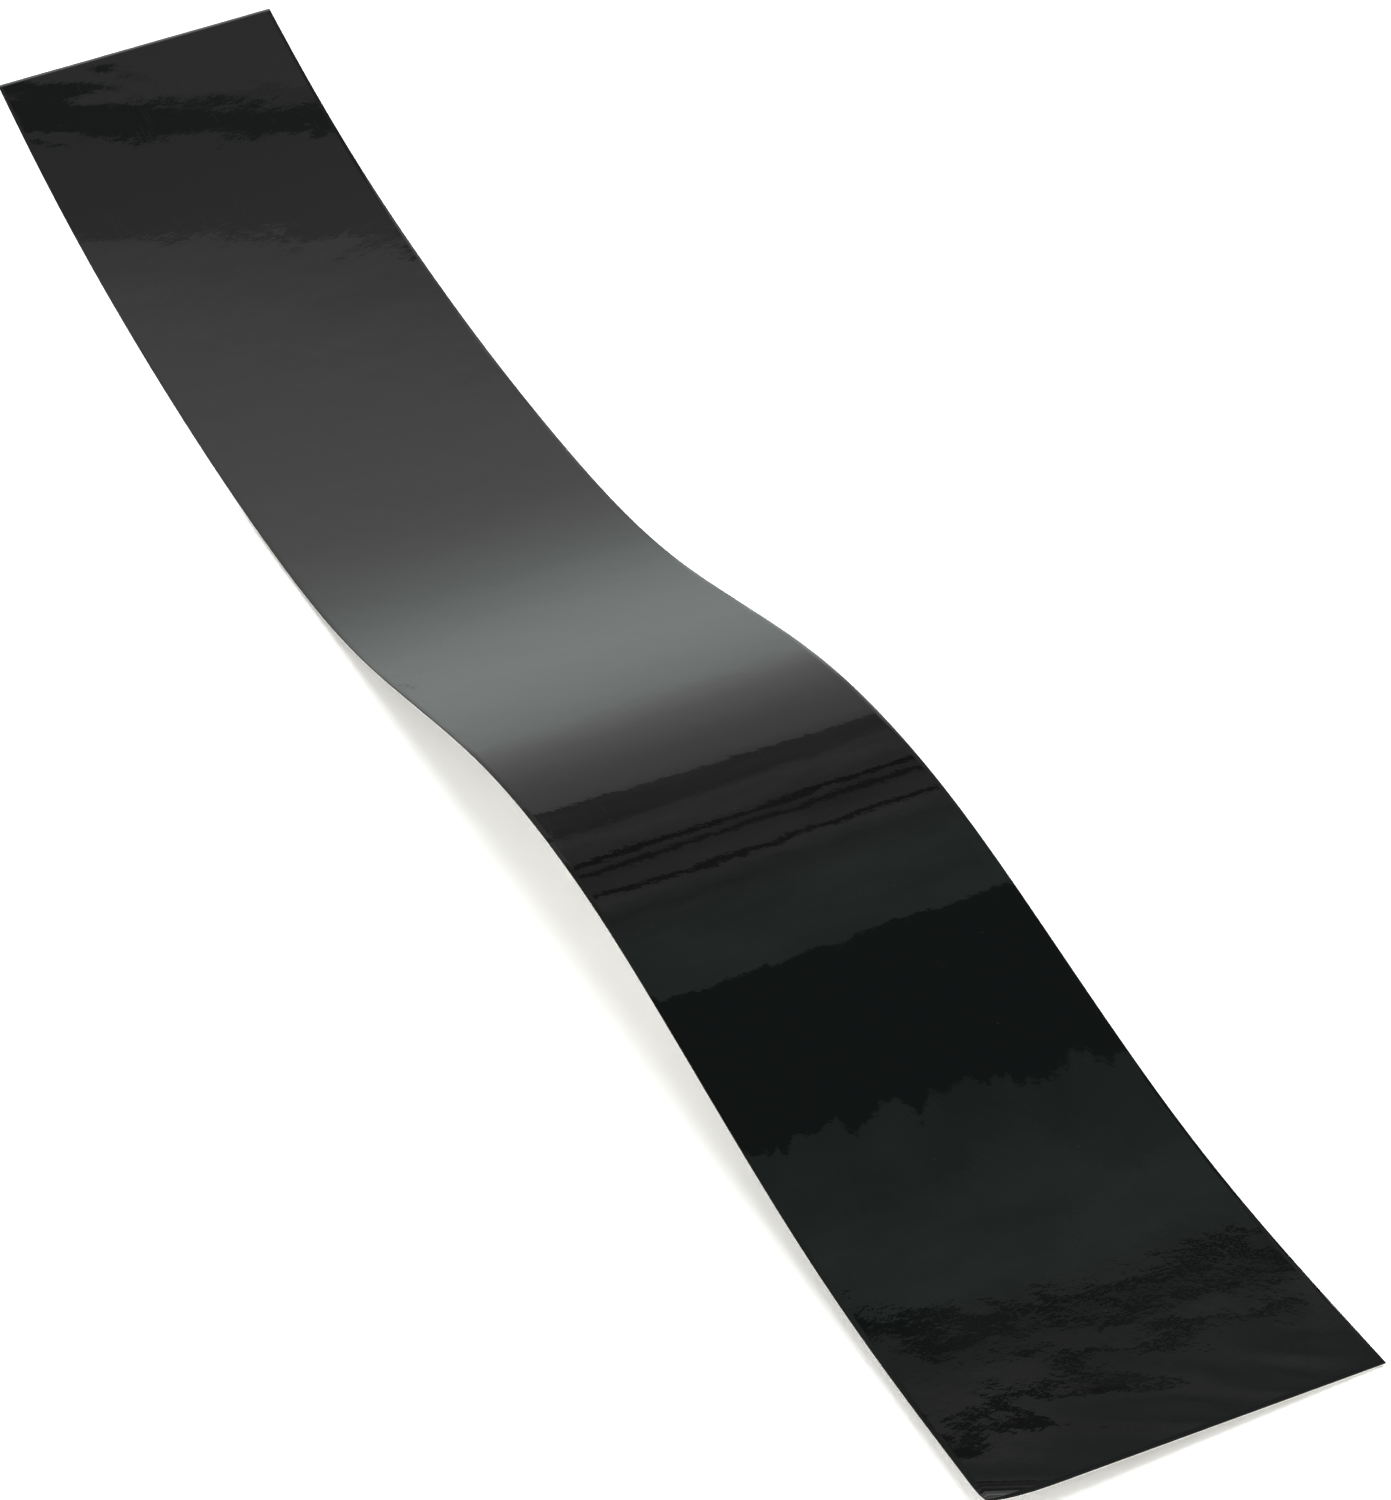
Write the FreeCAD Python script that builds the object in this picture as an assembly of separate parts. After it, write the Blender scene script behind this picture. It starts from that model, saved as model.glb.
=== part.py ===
import FreeCAD, Part
import math
import os

# Self-adhesive kick plate: one long thin gloss sheet with an adhesive coat on
# its back and a paper release liner under that. The strip lies loose on a flat
# surface and keeps the bow it took from being rolled: a short flat end, an
# arch, a line of contact with the surface, and a tip that curls up.
# +X runs along the strip towards the curled tip, +Y across it, +Z up.

# Driving dimensions, in millimetres and degrees
STRIP_LENGTH = 914.4
STRIP_WIDTH = 127.0
LINER_THICKNESS = 0.15
PEEL_GAP = 0.05
ADHESIVE_THICKNESS = 0.10
FACE_THICKNESS = 0.50

# The bow, as lengths along the underside and the angles that they turn through
FLAT_END_LENGTH = 52.0
FOOT_LENGTH = 98.0
RAMP_ANGLE = 14.0
RAMP_LENGTH = 74.0
CREST_LENGTH = 160.0
TAIL_LENGTH = 225.0
TAIL_ANGLE = 12.0
TIP_ANGLE = 11.5

FOLDER = "parts"


def stretches():
    """The underside from the flat end to the tip: (length, turn), up is positive."""
    arch = [
        (FLAT_END_LENGTH, 0.0),
        (FOOT_LENGTH, RAMP_ANGLE),
        (RAMP_LENGTH, 0.0),
        (CREST_LENGTH, -2.0 * RAMP_ANGLE),
        (RAMP_LENGTH, 0.0),
        (FOOT_LENGTH, RAMP_ANGLE),
    ]
    tail = (TAIL_LENGTH, TAIL_ANGLE)
    used = sum(length for length, _ in arch) + TAIL_LENGTH
    tip = (STRIP_LENGTH - used, TIP_ANGLE)
    return arch + [tail, tip]


def advance(station, length, turn):
    """The station (x, z, heading) one straight or tangent arc further on."""
    x, z, heading = station
    chord = length
    if turn:
        half = math.radians(abs(turn)) / 2.0
        chord = length * math.sin(half) / half
    direction = math.radians(heading + turn / 2.0)
    return (x + chord * math.cos(direction), z + chord * math.sin(direction), heading + turn)


def underside():
    """Each stretch of the underside as its start, middle and end stations."""
    spans = []
    station = (0.0, 0.0, 0.0)
    for length, turn in stretches():
        middle = advance(station, length / 2.0, turn / 2.0)
        end = advance(station, length, turn)
        spans.append((station, middle, end))
        station = end
    return spans


def lifted(station, height, start_x):
    """The point at a height above the underside, square to it."""
    x, z, heading = station
    lean = math.radians(heading)
    across = -STRIP_WIDTH / 2.0
    return FreeCAD.Vector(start_x + x - height * math.sin(lean), across, z + height * math.cos(lean))


def contour(height, start_x):
    """The line at a height above the underside, from the flat end to the tip."""
    edges = []
    for start, middle, end in underside():
        first, centre, last = (lifted(station, height, start_x) for station in (start, middle, end))
        if start[2] == end[2]:
            edges.append(Part.LineSegment(first, last).toShape())
        else:
            edges.append(Part.Arc(first, centre, last).toShape())
    return edges


def end_cut(low_edge, high_edge, index):
    """The straight cut that joins two contours at their first or last ends."""
    low = low_edge.Vertexes[index].Point
    high = high_edge.Vertexes[index].Point
    return Part.LineSegment(low, high).toShape()


def layer(low, high, start_x):
    """One layer of the strip, between two heights above the underside."""
    below = contour(low, start_x)
    above = contour(high, start_x)
    near_cut = end_cut(below[0], above[0], 0)
    tip_cut = end_cut(below[-1], above[-1], -1)
    outline = Part.Wire(Part.__sortEdges__(below + [tip_cut] + above + [near_cut]))
    return Part.Face(outline).extrude(FreeCAD.Vector(0.0, STRIP_WIDTH, 0.0))


def reach():
    """How far the bowed strip extends along X, from its flat end to its tip."""
    return underside()[-1][2][0]


def main():
    liner_top = LINER_THICKNESS
    adhesive_bottom = liner_top + PEEL_GAP
    adhesive_top = adhesive_bottom + ADHESIVE_THICKNESS
    face_top = adhesive_top + FACE_THICKNESS
    heights = {
        "release_liner": (0.0, liner_top),
        "adhesive_layer": (adhesive_bottom, adhesive_top),
        "face_sheet": (adhesive_top, face_top),
    }
    start_x = -reach() / 2.0
    os.makedirs(FOLDER, exist_ok=True)
    for name, (low, high) in heights.items():
        shape = layer(low, high, start_x)
        shape.exportStep(os.path.join(FOLDER, name + ".step"))
        expected = STRIP_LENGTH * STRIP_WIDTH * (high - low)
        print(name, shape.isValid(), round(shape.Volume), round(expected), shape.BoundBox)


main()
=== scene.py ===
import math

import bpy
from mathutils import Matrix, Vector, noise


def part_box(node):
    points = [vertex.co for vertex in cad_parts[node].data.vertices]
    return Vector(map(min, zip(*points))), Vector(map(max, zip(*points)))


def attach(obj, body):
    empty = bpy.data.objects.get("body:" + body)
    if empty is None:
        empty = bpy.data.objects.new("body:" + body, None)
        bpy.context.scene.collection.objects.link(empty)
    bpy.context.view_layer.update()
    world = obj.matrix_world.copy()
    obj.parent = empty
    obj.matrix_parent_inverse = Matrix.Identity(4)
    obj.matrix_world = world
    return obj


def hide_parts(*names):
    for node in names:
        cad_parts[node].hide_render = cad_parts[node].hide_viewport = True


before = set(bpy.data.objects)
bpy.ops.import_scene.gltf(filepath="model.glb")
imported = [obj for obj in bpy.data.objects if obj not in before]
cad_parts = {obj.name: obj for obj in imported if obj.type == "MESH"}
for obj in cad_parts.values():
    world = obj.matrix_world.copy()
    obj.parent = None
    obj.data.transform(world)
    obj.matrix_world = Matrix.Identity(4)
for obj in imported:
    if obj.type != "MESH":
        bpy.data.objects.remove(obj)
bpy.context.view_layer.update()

# The strip, in metres: the bow as lengths along the underside and turns in degrees, up positive
STRIP_LENGTH = 0.9144
FLAT_END = 0.052
FOOT = 0.098
RAMP = 0.074
CREST = 0.160
TAIL = 0.225
RAMP_ANGLE = 14.0
TAIL_ANGLE = 12.0
TIP_ANGLE = 11.5
EASING = 0.030
HALF_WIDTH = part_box("face_sheet")[1][1]
START_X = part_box("release_liner")[0][0]

# The layers, as heights above the underside
LINER_TOP = 0.00015
ADHESIVE_BOTTOM = 0.00020
ADHESIVE_TOP = 0.00030
FACE_TOP = 0.00080
EDGE_ROUND = 0.00012

# Mesh divisions of each layer: along the strip, and across it
FACE_MESH = (570, 76)
ADHESIVE_MESH = (300, 12)
LINER_MESH = (300, 24)

# How the loose strip leaves its even bow: the +Y side of the flat end and the -Y side of the tip lift,
# the flat end turns up a little, and its +Y corner curls
END_LIFT = 0.007
TIP_LIFT = 0.003
END_UPTURN = 0.0005
UPTURN_REACH = 0.065
CORNER_CURL = 0.0028
CURL_ALONG = 0.012
CURL_ACROSS = 0.026

# Camera
LENS_MM = 93.6
AIM = Vector((-0.077, -0.022, 0.0))
CAMERA_DISTANCE = 1.369
CAMERA_ELEVATION = 35.4
CAMERA_AZIMUTH = 22.0
CAMERA_ROLL = -5.3

# Studio: the white backdrop stands behind the tip, and the room above it is darker
PLAIN = (1.0, 1.0, 1.0)
COOL = (0.94, 1.01, 0.99)
GREEN = (0.87, 1.07, 1.02)
PALE = (0.94, 1.03, 1.01)
BACKDROP_HEIGHT = 0.597
CEILING = 0.80
FLOOR_SIZE = 24.0


# ---------------------------------------------------------------- the bow

def stretches():
    """The underside from the flat end to the tip: (length, turn in radians)."""
    arch = [
        (FLAT_END, 0.0),
        (FOOT, RAMP_ANGLE),
        (RAMP, 0.0),
        (CREST, -2.0 * RAMP_ANGLE),
        (RAMP, 0.0),
        (FOOT, RAMP_ANGLE),
        (TAIL, TAIL_ANGLE),
    ]
    used = sum(length for length, _ in arch)
    arch.append((STRIP_LENGTH - used, TIP_ANGLE))
    return [(length, math.radians(turn)) for length, turn in arch]


def even_heading(distance):
    """The slope of the underside where straights and arcs meet without easing."""
    heading = 0.0
    for length, turn in stretches():
        part = max(0.0, min(distance, length))
        heading += turn * part / length
        distance -= part
    return heading


def eased_heading(distance):
    """The slope of the springy sheet, whose bend changes gradually."""
    samples = [distance + EASING * i / 6.0 for i in range(-6, 7)]
    return sum(even_heading(sample) for sample in samples) / len(samples)


def bow(along):
    """The stations (x, z, heading) of the underside at even steps from the flat end."""
    x, z = START_X, 0.0
    step = STRIP_LENGTH / along
    stations = [(x, z, eased_heading(0.0))]
    for i in range(along):
        middle = eased_heading((i + 0.5) * step)
        x += step * math.cos(middle)
        z += step * math.sin(middle)
        stations.append((x, z, eased_heading((i + 1) * step)))
    return stations


def warp(distance, y):
    """How far the loose strip lifts off its even bow at one point."""
    along = distance / STRIP_LENGTH
    left = 0.5 + 0.5 * y / HALF_WIDTH
    lift = END_LIFT * (1.0 - along) ** 2 * left + TIP_LIFT * along ** 2 * (1.0 - left)
    lift += END_UPTURN * max(0.0, 1.0 - distance / UPTURN_REACH) ** 2
    near = max(0.0, 1.0 - distance / CURL_ALONG - (HALF_WIDTH - y) / CURL_ACROSS)
    return lift + CORNER_CURL * near ** 3


def ripple(distance, y):
    """The faint waviness of the gloss face, which makes what it mirrors ragged."""
    swell = noise.noise(Vector((distance * 21.0, y * 9.0, 3.1))) * 0.000080
    wave = noise.noise(Vector((distance * 62.0, y * 46.0, 7.7))) * 0.000030
    peel = noise.noise(Vector((distance * 150.0, y * 230.0, 1.3))) * 0.0000120
    ends = max(0.0, 1.0 - distance / 0.058) + max(0.0, (distance - 0.83) / 0.14)
    across, along = 0.87 * distance - 0.50 * y, 0.50 * distance + 0.87 * y
    crinkle = noise.noise(Vector((across * 105.0, along * 32.0, 9.2))) * 0.000110
    return swell + wave + peel + crinkle * min(1.0, ends)


# ---------------------------------------------------------------- meshes

def rows(count, low, high):
    """Evenly spaced values from low to high."""
    return [low + (high - low) * i / count for i in range(count + 1)]


def section(low, high, across, rounding):
    """A closed loop of (y, height, is_top) round one layer, wider than it is thick."""
    ys = rows(across, -HALF_WIDTH + rounding, HALF_WIDTH - rounding)
    loop = [(y, high, True) for y in ys]
    if rounding:
        loop.append((HALF_WIDTH - 0.3 * rounding, high - 0.3 * rounding, False))
    loop.append((HALF_WIDTH, high - rounding, False))
    loop.append((HALF_WIDTH, low, False))
    loop += [(y, low, False) for y in reversed(ys)]
    loop.append((-HALF_WIDTH, low, False))
    loop.append((-HALF_WIDTH, high - rounding, False))
    if rounding:
        loop.append((-HALF_WIDTH + 0.3 * rounding, high - 0.3 * rounding, False))
    return loop


def layer(name, low, high, along, across, rounding=0.0, rippled=False):
    """One closed layer of the strip, swept along the bow."""
    loop = section(low, high, across, rounding)
    verts = []
    for distance, (x, z, heading) in zip(rows(along, 0.0, STRIP_LENGTH), bow(along)):
        lean_x, lean_z = -math.sin(heading), math.cos(heading)
        for y, height, is_top in loop:
            if rippled and is_top:
                height += ripple(distance, y)
            verts.append((x + height * lean_x, y, z + height * lean_z + warp(distance, y)))
    size = len(loop)
    faces = []
    for i in range(along):
        for j in range(size):
            k = (j + 1) % size
            faces.append((i * size + j, (i + 1) * size + j, (i + 1) * size + k, i * size + k))
    caps = end_caps(size, across, rounding)
    last = along * size
    faces += [tuple(face) for face in caps]
    faces += [tuple(last + index for index in reversed(face)) for face in caps]
    mesh = bpy.data.meshes.new(name)
    mesh.from_pydata(verts, [], faces)
    mesh.validate()
    mesh.update()
    mark_gloss(mesh, size, across, along)
    piece = bpy.data.objects.new(name, mesh)
    bpy.context.scene.collection.objects.link(piece)
    return piece


def end_caps(size, across, rounding):
    """Quads and end polygons that close the flat cut at one end of a layer."""
    top = list(range(across + 1))
    side = 3 if rounding else 2
    bottom_start = across + 1 + side
    bottom = list(range(bottom_start, bottom_start + across + 1))[::-1]
    caps = [(top[i], top[i + 1], bottom[i + 1], bottom[i]) for i in range(across)]
    caps.append(tuple([top[-1]] + list(range(across + 1, bottom_start)) + [bottom[-1]]))
    caps.append(tuple([bottom[0]] + list(range(bottom_start + across + 1, size)) + [top[0]]))
    return caps


def mark_gloss(mesh, size, across, along):
    """The broad faces shade smoothly; the cut edges take the second material."""
    sides = along * size
    for polygon in mesh.polygons:
        ring = polygon.index % size if polygon.index < sides else size
        broad = ring < across or (polygon.index < sides and polygon.normal.z < -0.5)
        polygon.use_smooth = broad
        polygon.material_index = 0 if broad else 1


# ---------------------------------------------------------------- materials

class Nodes:
    """A small helper that adds and links shader nodes."""

    def __init__(self, tree):
        self.tree = tree
        self.tree.nodes.clear()

    def add(self, kind):
        return self.tree.nodes.new(kind)

    def link(self, source, target):
        self.tree.links.new(source, target)


def new_material(name):
    material = bpy.data.materials.new(name)
    material.use_nodes = True
    nodes = Nodes(material.node_tree)
    shader = nodes.add("ShaderNodeBsdfPrincipled")
    output = nodes.add("ShaderNodeOutputMaterial")
    nodes.link(shader.outputs["BSDF"], output.inputs["Surface"])
    return material, nodes, shader


def object_coordinates(nodes, scale=(1.0, 1.0, 1.0), turn=0.0):
    place = nodes.add("ShaderNodeTexCoord")
    mapping = nodes.add("ShaderNodeMapping")
    mapping.inputs["Scale"].default_value = scale
    mapping.inputs["Rotation"].default_value = (0.0, 0.0, turn)
    nodes.link(place.outputs["Object"], mapping.inputs["Vector"])
    return mapping.outputs["Vector"]


def noise_texture(nodes, vector, scale, detail=2.0, roughness=0.5):
    texture = nodes.add("ShaderNodeTexNoise")
    texture.inputs["Scale"].default_value = scale
    texture.inputs["Detail"].default_value = detail
    texture.inputs["Roughness"].default_value = roughness
    nodes.link(vector, texture.inputs["Vector"])
    return texture.outputs["Fac"]


def remap(nodes, value, from_low, from_high, to_low, to_high):
    node = nodes.add("ShaderNodeMapRange")
    node.inputs["From Min"].default_value = from_low
    node.inputs["From Max"].default_value = from_high
    node.inputs["To Min"].default_value = to_low
    node.inputs["To Max"].default_value = to_high
    nodes.link(value, node.inputs["Value"])
    return node.outputs["Result"]


def bump(nodes, height, distance, below=None):
    node = nodes.add("ShaderNodeBump")
    node.inputs["Strength"].default_value = 1.0
    node.inputs["Distance"].default_value = distance
    nodes.link(height, node.inputs["Height"])
    if below is not None:
        nodes.link(below, node.inputs["Normal"])
    return node.outputs["Normal"]


def mix_colours(nodes, factor, first, second):
    node = nodes.add("ShaderNodeMix")
    node.data_type = "RGBA"
    nodes.link(factor, node.inputs["Factor"])
    sockets = [socket for socket in node.inputs if socket.type == "RGBA"]
    sockets[0].default_value = first
    sockets[1].default_value = second
    return [socket for socket in node.outputs if socket.type == "RGBA"][0]


def gloss_face_material():
    """High-gloss black plastic: orange peel, faint handling marks and dust."""
    material, nodes, shader = new_material("gloss_black_face")
    place = object_coordinates(nodes)
    shader.inputs["IOR"].default_value = 1.5
    peel = noise_texture(nodes, place, 420.0, 2.0, 0.55)
    grain = noise_texture(nodes, place, 150.0, 3.0, 0.6)
    normal = bump(nodes, grain, 0.0000200)
    normal = bump(nodes, peel, 0.0000060, normal)
    scratch_place = object_coordinates(nodes, (1.0, 26.0, 1.0), 0.55)
    scratch = noise_texture(nodes, scratch_place, 48.0, 1.0, 0.4)
    scratches = remap(nodes, scratch, 0.735, 0.76, 0.0, 1.0)
    normal = bump(nodes, scratches, 0.0000040, normal)
    nodes.link(normal, shader.inputs["Normal"])
    smear = noise_texture(nodes, place, 16.0, 4.0, 0.6)
    nodes.link(remap(nodes, smear, 0.35, 0.75, 0.015, 0.055), shader.inputs["Roughness"])
    dust = nodes.add("ShaderNodeTexVoronoi")
    dust.inputs["Scale"].default_value = 95.0
    nodes.link(place, dust.inputs["Vector"])
    speck = remap(nodes, dust.outputs["Distance"], 0.022, 0.030, 1.0, 0.0)
    colour = mix_colours(nodes, speck, (0.0003, 0.0004, 0.0004, 1.0), (0.012, 0.013, 0.013, 1.0))
    nodes.link(colour, shader.inputs["Base Color"])
    return material


def cut_edge_material():
    """The sheared edge of the black sheet: duller, with fine drag marks."""
    material, nodes, shader = new_material("black_cut_edge")
    place = object_coordinates(nodes, (1.0, 1.0, 6.0))
    drag = noise_texture(nodes, place, 900.0, 2.0, 0.6)
    shade = mix_colours(nodes, drag, (0.001, 0.001, 0.001, 1.0), (0.004, 0.004, 0.004, 1.0))
    nodes.link(shade, shader.inputs["Base Color"])
    shader.inputs["Specular IOR Level"].default_value = 0.12
    nodes.link(remap(nodes, drag, 0.3, 0.7, 0.40, 0.60), shader.inputs["Roughness"])
    nodes.link(bump(nodes, drag, 0.000010), shader.inputs["Normal"])
    return material


def liner_material():
    """Coated release paper: off-white, with faint fibre and a satin back."""
    material, nodes, shader = new_material("release_paper")
    place = object_coordinates(nodes, (1.0, 2.4, 1.0))
    fibre = noise_texture(nodes, place, 520.0, 4.0, 0.65)
    cloud = noise_texture(nodes, place, 22.0, 3.0, 0.6)
    shade = mix_colours(nodes, cloud, (0.86, 0.845, 0.80, 1.0), (0.93, 0.92, 0.89, 1.0))
    nodes.link(shade, shader.inputs["Base Color"])
    nodes.link(remap(nodes, fibre, 0.3, 0.7, 0.42, 0.60), shader.inputs["Roughness"])
    nodes.link(bump(nodes, fibre, 0.000020), shader.inputs["Normal"])
    return material


def adhesive_material():
    """Clear tacky acrylic over the black back: pale, wet-looking, slightly pebbled."""
    material, nodes, shader = new_material("acrylic_adhesive")
    place = object_coordinates(nodes)
    pebble = noise_texture(nodes, place, 700.0, 2.0, 0.5)
    shade = mix_colours(nodes, pebble, (0.30, 0.29, 0.25, 1.0), (0.42, 0.40, 0.35, 1.0))
    nodes.link(shade, shader.inputs["Base Color"])
    nodes.link(remap(nodes, pebble, 0.3, 0.7, 0.18, 0.34), shader.inputs["Roughness"])
    nodes.link(bump(nodes, pebble, 0.000012), shader.inputs["Normal"])
    return material


# ---------------------------------------------------------------- the strip

def build_strip():
    face = layer("face_sheet_gloss", ADHESIVE_TOP, FACE_TOP, *FACE_MESH, EDGE_ROUND, True)
    adhesive = layer("adhesive_coat", ADHESIVE_BOTTOM, ADHESIVE_TOP, *ADHESIVE_MESH)
    liner = layer("release_liner_paper", 0.0, LINER_TOP, *LINER_MESH)
    pieces = [
        (face, "face_sheet", "plate", "gloss_face", [gloss_face_material(), cut_edge_material()]),
        (adhesive, "adhesive_layer", "plate", "adhesive", [adhesive_material()] * 2),
        (liner, "release_liner", "liner", "liner_paper", [liner_material()] * 2),
    ]
    for piece, node, body, slot, materials in pieces:
        for material in materials:
            piece.data.materials.append(material)
        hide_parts(node)
        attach(piece, body)


# ---------------------------------------------------------------- studio

def studio_sheet(name, verts, faces, material):
    """A thin sheet of the studio, which is no part of the object."""
    mesh = bpy.data.meshes.new(name)
    mesh.from_pydata(verts, [], faces)
    mesh.materials.append(material)
    card = bpy.data.objects.new(name, mesh)
    bpy.context.scene.collection.objects.link(card)
    return card


def quad(name, low, high, height, material):
    """A level rectangle between two opposite (x, y) corners."""
    verts = [(low[0], low[1], height), (high[0], low[1], height),
             (high[0], high[1], height), (low[0], high[1], height)]
    return studio_sheet(name, verts, [(0, 1, 2, 3)], material)


def mirrored_only(card):
    """The card shows only in what the gloss face mirrors, and casts no shadow."""
    card.visible_camera = False
    card.visible_diffuse = False
    card.visible_shadow = False
    card.visible_transmission = False
    card.visible_volume_scatter = False


def glow(name, level, tint=PLAIN):
    """A light of its own, and the nodes that a graded glow adds to."""
    material = bpy.data.materials.new(name)
    material.use_nodes = True
    nodes = Nodes(material.node_tree)
    emission = nodes.add("ShaderNodeEmission")
    output = nodes.add("ShaderNodeOutputMaterial")
    emission.inputs["Color"].default_value = (*tint, 1.0)
    emission.inputs["Strength"].default_value = level
    nodes.link(emission.outputs["Emission"], output.inputs["Surface"])
    return material, nodes, emission


def graded_glow(name, axis, span, stops, mottle=0.0):
    """A glow that follows one axis, as (position, tint, level) stops from low to high."""
    material, nodes, emission = glow(name, 1.0)
    place = nodes.add("ShaderNodeTexCoord")
    split = nodes.add("ShaderNodeSeparateXYZ")
    nodes.link(place.outputs["Object"], split.inputs["Vector"])
    position = remap(nodes, split.outputs[axis], span[0], span[1], 0.0, 1.0)
    ramp = nodes.add("ShaderNodeValToRGB")
    nodes.link(position, ramp.inputs["Fac"])
    fill_ramp(ramp, [((at - span[0]) / (span[1] - span[0]), tint, level) for at, tint, level in stops])
    nodes.link(ramp.outputs["Color"], emission.inputs["Color"])
    if mottle:
        cloud = noise_texture(nodes, place.outputs["Object"], 14.0, 3.0, 0.6)
        level = remap(nodes, cloud, 0.35, 0.65, 1.0 - mottle, 1.0 + mottle / 2.0)
        nodes.link(level, emission.inputs["Strength"])
    return material


def fill_ramp(ramp, stops):
    elements = ramp.color_ramp.elements
    while len(elements) < len(stops):
        elements.new(1.0)
    for element, (at, tint, level) in zip(elements, stops):
        element.position = at
        element.color = (*[part * level for part in tint], 1.0)


def upright(name, top_edge, foot, material):
    """A standing sheet that hangs from a line of (x, y, z) points down to one level."""
    count = len(top_edge)
    verts = [(x, y, foot) for x, y, _ in top_edge] + list(top_edge)
    faces = [(i, i + 1, count + i + 1, count + i) for i in range(count - 1)]
    mirrored_only(studio_sheet(name, verts, faces, material))


def torn(points, depth, grain):
    """A line of (x, y) points with a ragged course, for the edge of a flag."""
    ragged = []
    for (x0, y0), (x1, y1) in zip(points, points[1:]):
        count = max(1, int(math.hypot(x1 - x0, y1 - y0) / grain))
        for i in range(count):
            x = x0 + (x1 - x0) * i / count
            y = y0 + (y1 - y0) * i / count
            coarse = noise.noise(Vector((x, y * 0.12 / grain, 4.0)))
            fine = noise.noise(Vector((x, y * 0.50 / grain, 8.0)))
            ragged.append((x + depth * (coarse + 0.7 * fine), y))
    ragged.append(points[-1])
    return ragged


def flag(name, near_edge, far_edge, height, material):
    """A level card between two edges that have the same number of (x, y) points."""
    count = len(near_edge)
    verts = [(x, y, height) for x, y in near_edge] + [(x, y, height) for x, y in far_edge]
    faces = [(i, i + 1, count + i + 1, count + i) for i in range(count - 1)]
    mirrored_only(studio_sheet(name, verts, faces, material))


def strip_card(name, line, width, height, level, tint):
    """A level strip of glow along a line of (x, y) points that runs mostly in Y."""
    near_edge = [(x - width / 2.0, y) for x, y in line]
    far_edge = [(x + width / 2.0, y) for x, y in line]
    flag(name, near_edge, far_edge, height, glow(name, level, tint)[0])


def build_backdrop():
    """A white upright sweep behind the tip, and a nearer screen that the crest mirrors."""
    sweep_stops = [(0.0, COOL, 1.16), (0.24, COOL, 1.14), (0.30, COOL, 1.07), (0.38, PLAIN, 0.96),
                   (0.45, PLAIN, 0.86), (0.52, PLAIN, 0.80), (0.56, PLAIN, 0.68), (0.60, PLAIN, 0.60)]
    sweep_glow = graded_glow("backdrop_glow", "Z", (0.0, BACKDROP_HEIGHT), sweep_stops)
    plan = [(0.45, 1.60), (0.68, 0.10), (0.724, -0.067), (0.768, -0.263), (0.80, -0.41), (0.95, -1.60)]
    upright("backdrop", [(x, y, BACKDROP_HEIGHT) for x, y in plan], 0.0, sweep_glow)
    screen_stops = [(0.085, COOL, 1.14), (0.096, PLAIN, 0.98), (0.117, PLAIN, 0.80), (0.134, PLAIN, 0.74),
                    (0.152, PLAIN, 0.66), (0.172, PLAIN, 0.60), (0.200, PLAIN, 0.57), (0.222, PLAIN, 0.46)]
    screen_glow = graded_glow("screen_glow", "Z", (0.085, 0.222), screen_stops)
    top = torn([(0.190, 0.15), (0.207, -0.032), (0.214, -0.072), (0.221, -0.187), (0.226, -0.30)],
               0.0012, 0.004)
    upright("crest_screen", [(0.12, y, z) for z, y in top], 0.085, screen_glow)


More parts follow.
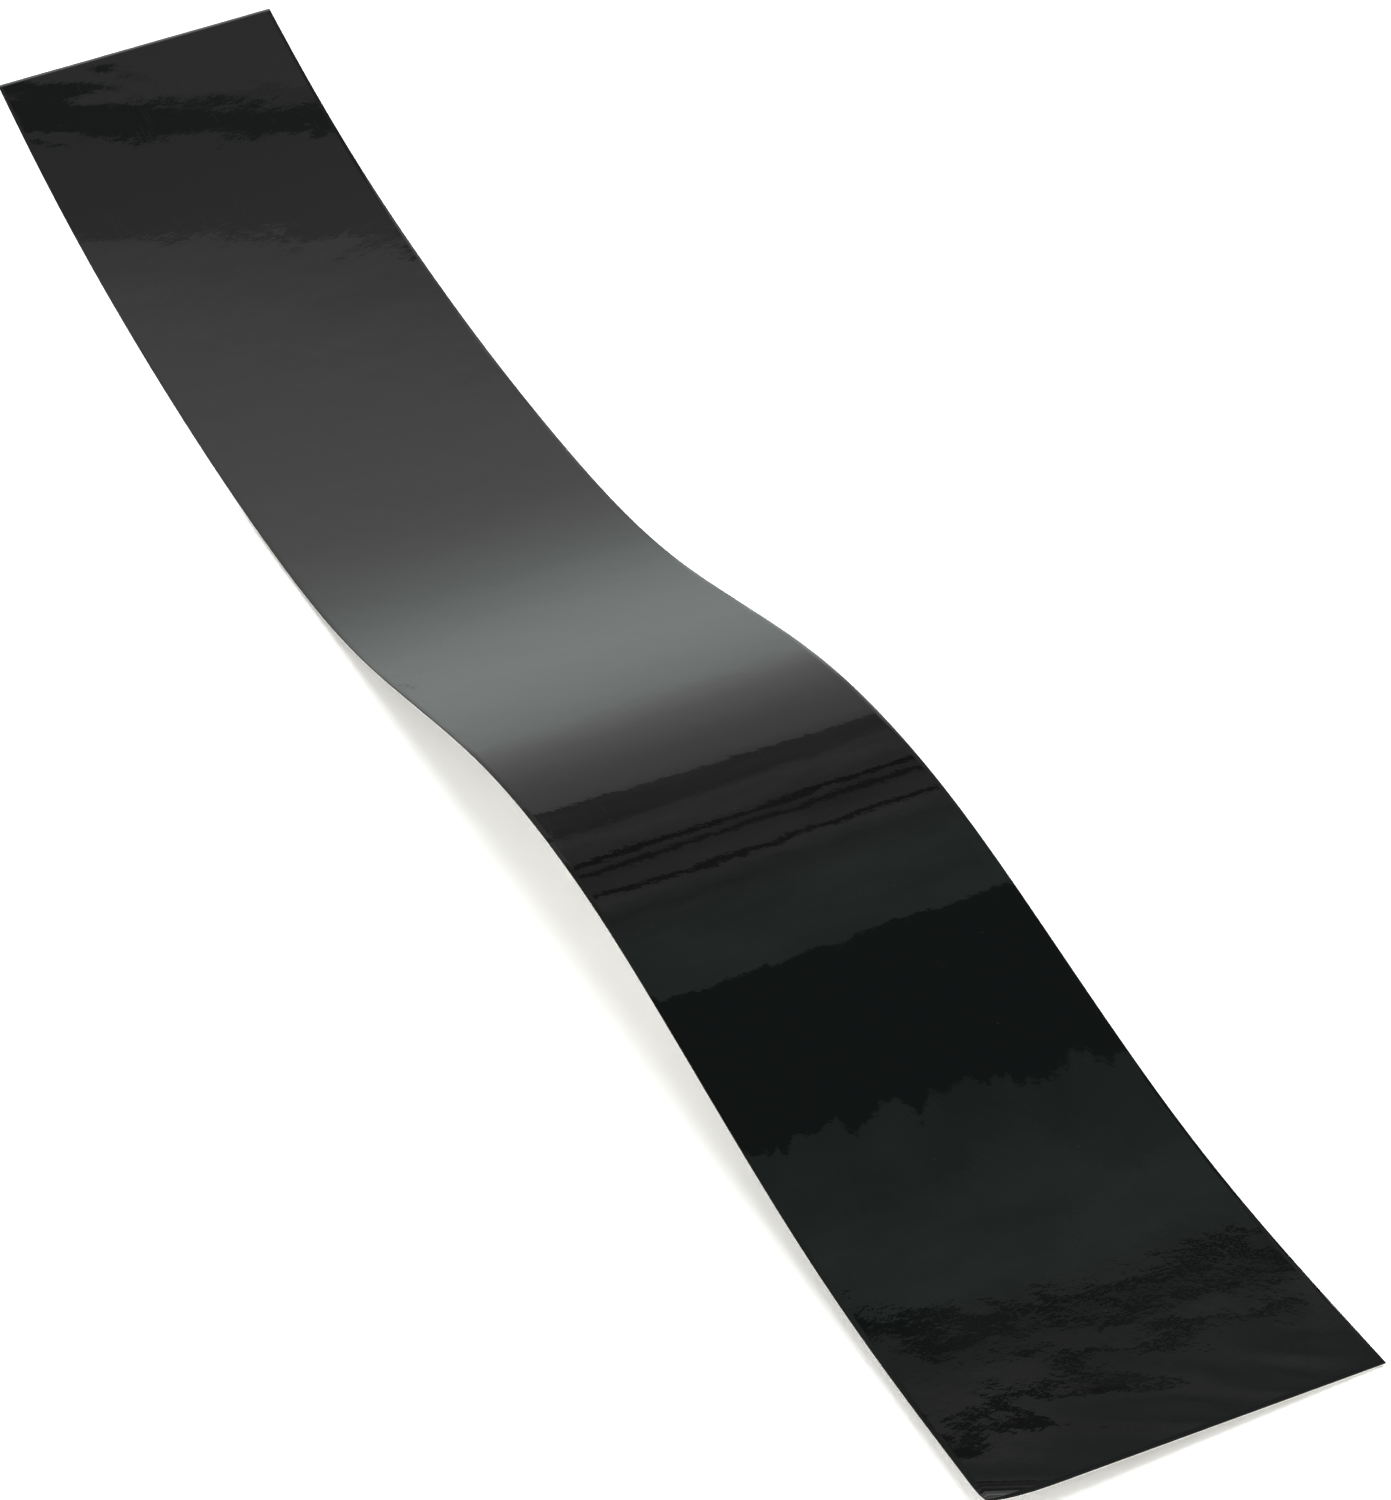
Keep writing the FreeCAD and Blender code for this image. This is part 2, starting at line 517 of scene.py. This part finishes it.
def build_room():
    """The dim room above the backdrop, with the rails and flags that the face mirrors."""
    stops = [(-0.60, GREEN, 0.30), (0.03, GREEN, 0.30), (0.08, GREEN, 0.32), (0.15, GREEN, 0.37),
             (0.25, GREEN, 0.37), (0.30, PALE, 0.33), (0.345, PALE, 0.29), (0.40, PLAIN, 0.38),
             (0.44, PLAIN, 0.34),
             (0.50, PLAIN, 0.30), (0.57, PLAIN, 0.26), (0.63, PLAIN, 0.31), (0.72, PLAIN, 0.37),
             (0.80, PLAIN, 0.35), (0.83, PLAIN, 0.235), (1.20, PLAIN, 0.235)]
    material = graded_glow("ceiling_glow", "X", (-0.60, 1.20), stops, 0.15)
    mirrored_only(quad("ceiling", (-0.60, -1.60), (1.20, 0.90), CEILING + 0.02, material))
    strip_card("rail_far", [(0.432, -0.22), (0.405, -0.53)], 0.022, CEILING, 0.12, PLAIN)
    strip_card("rail_middle", [(0.553, -0.22), (0.522, -0.53)], 0.026, CEILING, 0.12, PLAIN)
    strip_card("rail_near", [(0.613, -0.25), (0.578, -0.54)], 0.030, CEILING, 0.10, PLAIN)
    flag("tail_panel", [(0.60, 0.30), (0.60, -0.262), (0.72, -0.286), (0.76, -0.300), (0.96, -0.335)],
         [(1.12, 0.30), (1.12, -0.262), (1.12, -0.286), (1.12, -0.300), (1.12, -0.335)], CEILING,
         glow("tail_panel_glow", 0.415, PLAIN)[0])
    strip_card("tip_card", [(0.626, 0.00), (0.688, -0.262)], 0.110, CEILING - 0.005, 0.50, PLAIN)
    strip_card("tail_rail", [(0.691, 0.00), (0.779, -0.292)], 0.031, CEILING - 0.01, 0.20, PALE)
    near_edge = torn([(-0.247, 0.20), (-0.257, -0.014), (-0.268, -0.30)], 0.0050, 0.0013)
    far_edge = torn([(-0.1965, 0.20), (-0.1950, -0.014), (-0.1915, -0.30)], 0.0020, 0.0013)
    flag("ramp_flag", near_edge, far_edge, 0.12, glow("ramp_flag_glow", 0.145, GREEN)[0])
    boom = [(-0.186, -0.040), (-0.1815, -0.055), (-0.1755, -0.080), (-0.1735, -0.107), (-0.1728, -0.150),
            (-0.1740, -0.198), (-0.1770, -0.240)]
    widths = [0.0060, 0.0056, 0.0052, 0.0044, 0.0030, 0.0026, 0.0034]
    flag("end_boom", [(x - width / 2.0, y) for (x, y), width in zip(boom, widths)],
         [(x + width / 2.0, y) for (x, y), width in zip(boom, widths)], 0.25,
         glow("end_boom_glow", 0.12, GREEN)[0])


def build_world():
    """A pale horizon and a dim upper room, which the face mirrors from every side."""
    world = bpy.data.worlds.new("studio")
    bpy.context.scene.world = world
    world.use_nodes = True
    nodes = Nodes(world.node_tree)
    place = nodes.add("ShaderNodeTexCoord")
    split = nodes.add("ShaderNodeSeparateXYZ")
    ramp = nodes.add("ShaderNodeValToRGB")
    background = nodes.add("ShaderNodeBackground")
    output = nodes.add("ShaderNodeOutputWorld")
    nodes.link(place.outputs["Generated"], split.inputs["Vector"])
    nodes.link(split.outputs["Z"], ramp.inputs["Fac"])
    fill_ramp(ramp, [(0.0, PLAIN, 1.0), (0.40, PLAIN, 1.0), (0.50, PLAIN, 0.34), (1.0, PLAIN, 0.36)])
    nodes.link(ramp.outputs["Color"], background.inputs["Color"])
    nodes.link(background.outputs["Background"], output.inputs["Surface"])


def build_floor():
    material, nodes, shader = new_material("studio_floor")
    place = object_coordinates(nodes)
    cloud = noise_texture(nodes, place, 3.0, 2.0, 0.5)
    shade = mix_colours(nodes, cloud, (0.93, 0.93, 0.925, 1.0), (0.95, 0.95, 0.945, 1.0))
    nodes.link(shade, shader.inputs["Base Color"])
    shader.inputs["Roughness"].default_value = 0.9
    shader.inputs["Specular IOR Level"].default_value = 0.0
    half = FLOOR_SIZE / 2.0
    quad("floor", (-half, -half), (half, half), 0.0, material)


def add_sun(name, strength, spread, tilt=0.0, turn=0.0, colour=PLAIN):
    """A soft light, tilted from overhead towards +X and turned about Z, that the face doesn't mirror."""
    lamp = bpy.data.lights.new(name, "SUN")
    lamp.energy = strength
    lamp.angle = math.radians(spread)
    lamp.color = colour
    source = bpy.data.objects.new(name, lamp)
    source.rotation_euler = (0.0, math.radians(tilt), math.radians(turn))
    source.visible_glossy = False
    bpy.context.scene.collection.objects.link(source)


def build_camera():
    azimuth = math.radians(CAMERA_AZIMUTH)
    elevation = math.radians(CAMERA_ELEVATION)
    level = math.cos(elevation)
    outward = Vector((-math.cos(azimuth) * level, math.sin(azimuth) * level, math.sin(elevation)))
    forward = -outward
    right = forward.cross(Vector((0.0, 0.0, 1.0))).normalized()
    up = right.cross(forward)
    roll = math.radians(CAMERA_ROLL)
    image_right = right * math.cos(roll) + up * math.sin(roll)
    image_up = up * math.cos(roll) - right * math.sin(roll)
    turn = Matrix((image_right, image_up, outward)).transposed().to_4x4()
    data = bpy.data.cameras.new("camera")
    data.lens = LENS_MM
    camera = bpy.data.objects.new("camera", data)
    camera.matrix_world = Matrix.Translation(AIM + outward * CAMERA_DISTANCE) @ turn
    bpy.context.scene.collection.objects.link(camera)
    bpy.context.scene.camera = camera


bpy.context.scene.view_settings.view_transform = "Standard"
build_camera()
build_world()
build_floor()
build_backdrop()
build_room()
add_sun("overhead", 1.0, 20.0)
add_sun("fill", 1.7, 170.0, colour=(1.0, 1.0, 0.965))
add_sun("under_tip", 12.0, 6.0, tilt=83.0, turn=-12.0)
build_strip()
